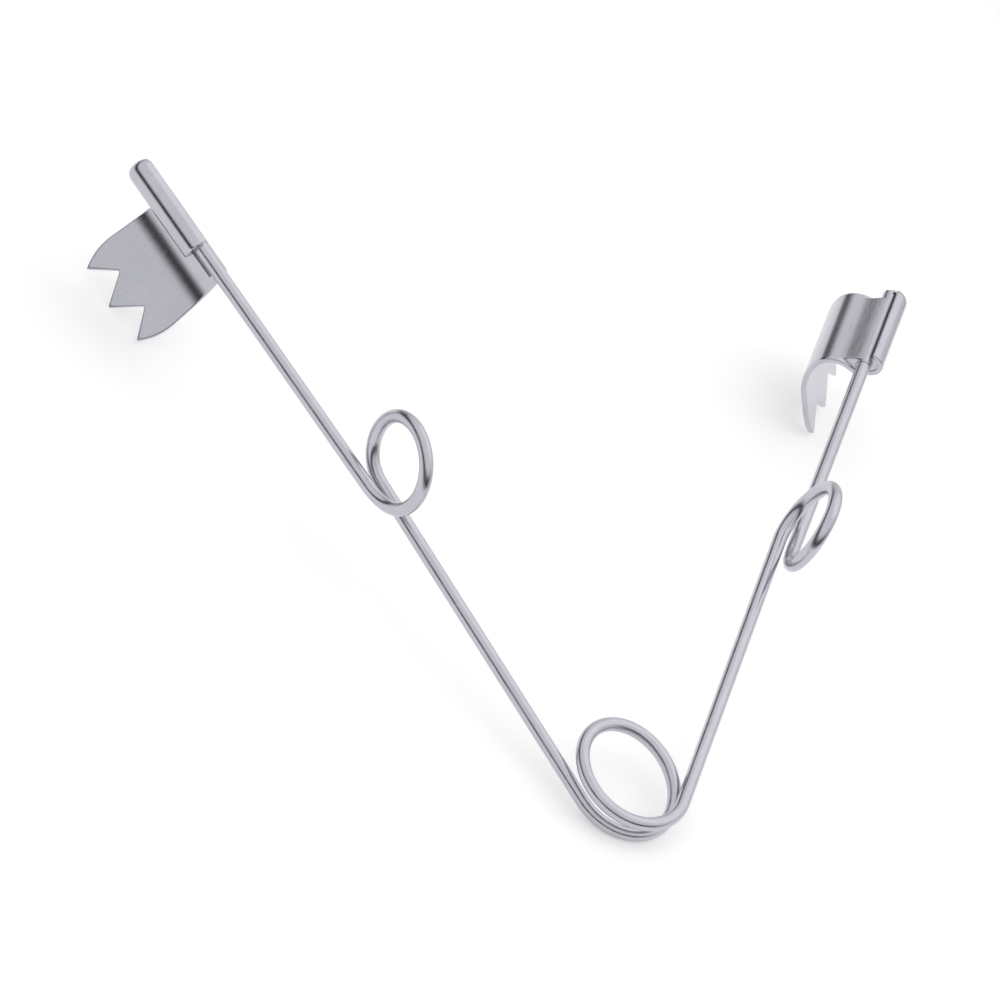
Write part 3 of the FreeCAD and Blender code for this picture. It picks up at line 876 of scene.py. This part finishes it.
@dataclass(frozen=True)
class Studio:
    """Plain pale floor, soft light and the camera of the photograph."""

    pose: RestPose
    frame_width: float = 83.333
    distance: float = 3200.0
    sensor: float = 36.0
    aim_right: float = -10.72
    aim_up: float = 23.11
    right: tuple[float, float, float] = (0.8254, -0.1388, 0.5472)
    upward: tuple[float, float, float] = (-0.1501, 0.8805, 0.4496)
    overhead: tuple[float, float, float] = (0.0, 0.0, 1.0)
    overhead_rise: tuple[float, float] = (0.2, 0.52)
    overhead_level: float = 0.95
    open_side: tuple[float, float, float] = (0.9, 0.43, 0.0)
    open_rise: tuple[float, float] = (0.0, 0.75)
    open_level: float = 0.9
    horizon_level: float = 0.02
    floor_pale: float = 0.8
    floor_grey: float = 0.36
    floor_glow: float = 0.4
    pale_reach: float = 0.085
    grey_reach: float = 0.17

    @staticmethod
    def placed(right: Array, up: Array, back: Array, spot: Array) -> list[list[float]]:
        """Rows of the matrix that Blender takes for an object with these axes and place."""
        matrix = np.zeros((4, 4))
        matrix[:, :3] = np.stack([right, up, back, spot])
        matrix[3, 3] = 1.0
        return matrix.tolist()

    def camera(self) -> None:
        """Place the camera on the line of sight of the photograph, with a long lens."""
        right = unit(self.pose.turn(np.array(self.right)))
        up = self.pose.turn(np.array(self.upward))
        up = unit(up - right * (up @ right))
        back = np.cross(right, up)
        aim = self.pose.origin + (right * self.aim_right + up * self.aim_up) * METRE
        lens = bpy.data.cameras.new("camera")
        lens.sensor_width = self.sensor
        lens.lens = self.sensor * self.distance / self.frame_width
        lens.clip_end = 20.0
        camera = bpy.data.objects.new("camera", lens)
        bpy.context.scene.collection.objects.link(camera)
        spot = aim + back * self.distance * METRE
        camera.matrix_world = self.placed(right, up, back, spot)
        bpy.context.scene.camera = camera

    def floor(self) -> None:
        """Lay a wide round floor whose pale colour is the background of the picture.

        It is white round the retractor and goes over to pale grey further off.
        """
        n = 96
        angle = np.arange(n) * 2 * math.pi / n
        radii = np.array([0.15, 1.2, 6.0])
        ring = np.stack([np.outer(radii, np.cos(angle)), np.outer(radii, np.sin(angle))], axis=-1)
        points = np.concatenate([ring.reshape(-1, 2), [[0.0, 0.0]]])
        points = np.concatenate([points, np.zeros((len(points), 1))], axis=1)
        middle = np.stack([np.full(n, 3 * n), np.arange(n), (np.arange(n) + 1) % n], axis=1)
        faces = [quads(2, n, n)[:, ::-1], middle]
        chart = np.zeros((sum(part.size for part in faces), 2))
        floor = new_piece("floor", points, faces, chart)
        made = bpy.data.materials.new("pale_floor")
        made.use_nodes = True
        nodes, links = made.node_tree.nodes, made.node_tree.links
        shader = nodes["Principled BSDF"]
        place = nodes.new("ShaderNodeTexCoord")
        away = nodes.new("ShaderNodeVectorMath")
        away.operation = "LENGTH"
        links.new(place.outputs["Object"], away.inputs[0])
        fall = nodes.new("ShaderNodeMapRange")
        fall.interpolation_type = "SMOOTHSTEP"
        fall.inputs["From Min"].default_value = self.pale_reach
        fall.inputs["From Max"].default_value = self.grey_reach
        fall.inputs["To Min"].default_value = self.floor_pale
        fall.inputs["To Max"].default_value = self.floor_grey
        links.new(away.outputs["Value"], fall.inputs["Value"])
        links.new(fall.outputs["Result"], shader.inputs["Base Color"])
        shader.inputs["Roughness"].default_value = 0.8
        shader.inputs["Specular IOR Level"].default_value = 0.0
        rays = nodes.new("ShaderNodeLightPath")
        seen = nodes.new("ShaderNodeMath")
        seen.operation = "MAXIMUM"
        links.new(rays.outputs["Is Camera Ray"], seen.inputs[0])
        links.new(rays.outputs["Is Glossy Ray"], seen.inputs[1])
        all_seen = nodes.new("ShaderNodeMath")
        all_seen.operation = "MAXIMUM"
        links.new(seen.outputs["Value"], all_seen.inputs[0])
        links.new(rays.outputs["Is Transmission Ray"], all_seen.inputs[1])
        lift = nodes.new("ShaderNodeMath")
        lift.operation = "MULTIPLY"
        links.new(fall.outputs["Result"], lift.inputs[1])
        links.new(all_seen.outputs["Value"], lift.inputs[0])
        glow = self.floor_glow
        shader.inputs["Emission Color"].default_value = (glow, glow, glow, 1.0)
        links.new(lift.outputs["Value"], shader.inputs["Emission Strength"])
        floor.data.materials.append(made)

    def light_toward(
        self, tree: bpy.types.NodeTree, direction: tuple[float, float, float], rise: tuple[float, float],
        level: float,
    ) -> bpy.types.NodeSocket:
        """Strength of light that rises smoothly toward one direction.

        Args:
            tree: The world's nodes.
            direction: Where the light is full.
            rise: Cosines to the direction at which the light starts and is full.
            level: The full strength.

        Returns:
            The socket that gives the strength.
        """
        place = tree.nodes.new("ShaderNodeTexCoord")
        toward = tree.nodes.new("ShaderNodeVectorMath")
        toward.operation = "DOT_PRODUCT"
        toward.inputs[1].default_value = direction
        tree.links.new(place.outputs["Generated"], toward.inputs[0])
        strength = tree.nodes.new("ShaderNodeMapRange")
        strength.interpolation_type = "SMOOTHSTEP"
        strength.inputs["From Min"].default_value = rise[0]
        strength.inputs["From Max"].default_value = rise[1]
        strength.inputs["To Min"].default_value = self.horizon_level
        strength.inputs["To Max"].default_value = level
        tree.links.new(toward.outputs["Value"], strength.inputs["Value"])
        return strength.outputs["Result"]

    def world(self) -> None:
        """Surround the scene with soft light over a dark horizon that is open on the right.

        The light's strength rises smoothly with height above the horizon, or with
        nearness to the open direction, whichever gives more.
        """
        world = bpy.data.worlds.new("studio")
        bpy.context.scene.world = world
        world.use_nodes = True
        nodes, links = world.node_tree.nodes, world.node_tree.links
        sky = nodes["Background"]
        sky.inputs["Color"].default_value = (1.0, 1.0, 1.0, 1.0)
        levels = [
            self.light_toward(world.node_tree, self.overhead, self.overhead_rise, self.overhead_level),
            self.light_toward(world.node_tree, self.open_side, self.open_rise, self.open_level),
        ]
        more = nodes.new("ShaderNodeMath")
        more.operation = "MAXIMUM"
        links.new(levels[0], more.inputs[0])
        links.new(levels[1], more.inputs[1])
        links.new(more.outputs["Value"], sky.inputs["Strength"])

    def lamp(self, name: str, spot: tuple[float, float, float], size: float, power: float) -> None:
        """Hang one square soft lamp that points at the retractor."""
        light = bpy.data.lights.new(name, "AREA")
        light.size = size
        light.energy = power
        lamp = bpy.data.objects.new(name, light)
        bpy.context.scene.collection.objects.link(lamp)
        back = unit(np.array(spot))
        right = unit(np.cross(np.array([0.0, 1.0, 0.0]), back))
        lamp.matrix_world = self.placed(right, np.cross(back, right), back, np.array(spot))

    def build(self) -> None:
        """Set up camera, floor, world and lamps."""
        self.camera()
        self.floor()
        self.world()
        self.lamp("key", (0.5, 0.2, 0.85), 1.2, 1.1)
        bpy.context.scene.view_settings.view_transform = "Standard"


@dataclass
class Retractor:
    """The whole retractor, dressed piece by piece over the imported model."""

    pose: RestPose
    wire: SpringWire
    left: SpringSide
    right: SpringSide

    def centre_coil(self, finish: bpy.types.Material) -> None:
        """Wind the centre coil, as two halves, one on the side of each lower arm."""
        half = math.radians(self.left.opening / 2)
        first = np.array([-math.cos(half), -math.sin(half), 0.0])
        following = np.array([math.sin(half), -math.cos(half), 0.0])
        middle = np.array([0.0, 0.0, self.left.start[2]])
        coil = Coil(middle, first, following, np.array([0.0, 0.0, 1.0]), self.left.centre_radius,
                    3 * math.pi - 2 * half, self.left.centre_span, -self.left.up, self.right.up)
        path = coil.path(161)
        cutter = CoilPieces(self.wire, self.pose, finish)
        halves = (
            ("centre_coil_left", path.part(0, 80), ("coil", "left_lower"), (1.0, 0.0)),
            ("centre_coil_right", path.part(80, 160), ("coil", "right_lower"), (0.0, 1.0)),
        )
        for word, part, bodies, shares in halves:
            cutter.make("centre_coil", word, part, shares, 4)

    def arm(self, side: SpringSide, finish: bpy.types.Material) -> None:
        """Make the two straight stretches and the side coil of one side."""
        word = side.side.word
        rods = (
            ("lower_arm", side.lower_body, side.start, side.up, side.lower_length),
            ("upper_arm", side.upper_body, side.leave, side.top, side.upper_length),
        )
        for part, body, start, direction, length in rods:
            node = f"{word}_{part}"
            path = side.straight(start, direction, length)
            rod = self.wire.piece(node + "_wire", path, self.pose, free_end=part == "upper_arm")
            rod.data.materials.append(finish)
            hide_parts(node)
            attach(rod, body)
            LOG.info("%s", rod.name)
        cutter = CoilPieces(self.wire, self.pose, finish)
        cutter.make(word + "_side_coil", word + "_side_coil_wire", side.coil().path(101),
                    (0.0, 1.0), 5)

    def blade(
        self, side: SpringSide, middle: float, shift: float, tail: float, sheet: bpy.types.Material,
        solder: bpy.types.Material,
    ) -> None:
        """Make the blade of one side and the solder that holds it.

        Args:
            side: The arm that carries the blade.
            middle: Distance of the leaf's middle from the end of the wire.
            shift: How far the teeth are skewed along the wire.
            tail: Length of solder past the lower end of the rolled edge.
            sheet: Finish of the blade.
            solder: Finish of the solder.
        """
        word = side.side.word
        blade = Blade(side, self.pose, BladeSection(), middle, shift)
        leaf = blade.piece(word + "_blade_sheet")
        leaf.data.materials.append(sheet)
        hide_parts(word + "_blade")
        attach(leaf, side.upper_body)
        joint = Solder(blade, tail=tail)
        for piece in (joint.run_piece(word + "_solder_run"), joint.end_piece(word + "_solder_end")):
            piece.data.materials.append(solder)
            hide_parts(word + "_braze")
            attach(piece, side.upper_body)
        LOG.info("%s blade with solder", word)

    def build(self) -> None:
        """Make every piece in order from the centre coil to the blades."""
        drawn = Steel("drawn_wire", 0.6, 0.52, 0.16, 0.28, 5.0, 0.35, 0.86).material()
        sheet = Steel("polished_sheet", 0.6, 0.5, 0.14, 0.26, 4.0, 0.3, 0.88).material()
        solder = Steel("silver_solder", 0.6, 0.5, 0.18, 0.3, 3.0, 0.35, 0.86).material()
        self.centre_coil(drawn)
        for side in (self.left, self.right):
            self.arm(side, drawn)
        self.blade(self.left, 6.65, -0.45, 0.0, sheet, solder)
        self.blade(self.right, 4.92, 0.6, 0.7, sheet, solder)


def corners(box: tuple) -> list[list[float]]:
    """Lowest and highest corner of a box as plain lists."""
    return [[float(a) for a in corner] for corner in box]


def main() -> None:
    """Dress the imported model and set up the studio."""
    logging.basicConfig(level=logging.INFO, format="%(name)s: %(message)s")
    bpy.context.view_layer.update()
    spread = next(j for j in frame["joints"] if j["name"] == "left_spread")
    pose = RestPose.from_joint(spread)
    left = SpringSide(Side.LEFT, 3.9, 12.3, 2.2, 33.2)
    right = SpringSide(Side.RIGHT, 3.6, 27.9, 0.4, 32.75)
    Retractor(pose, SpringWire(), left, right).build()
    Studio(pose).build()


if __name__ == "__main__":
    main()
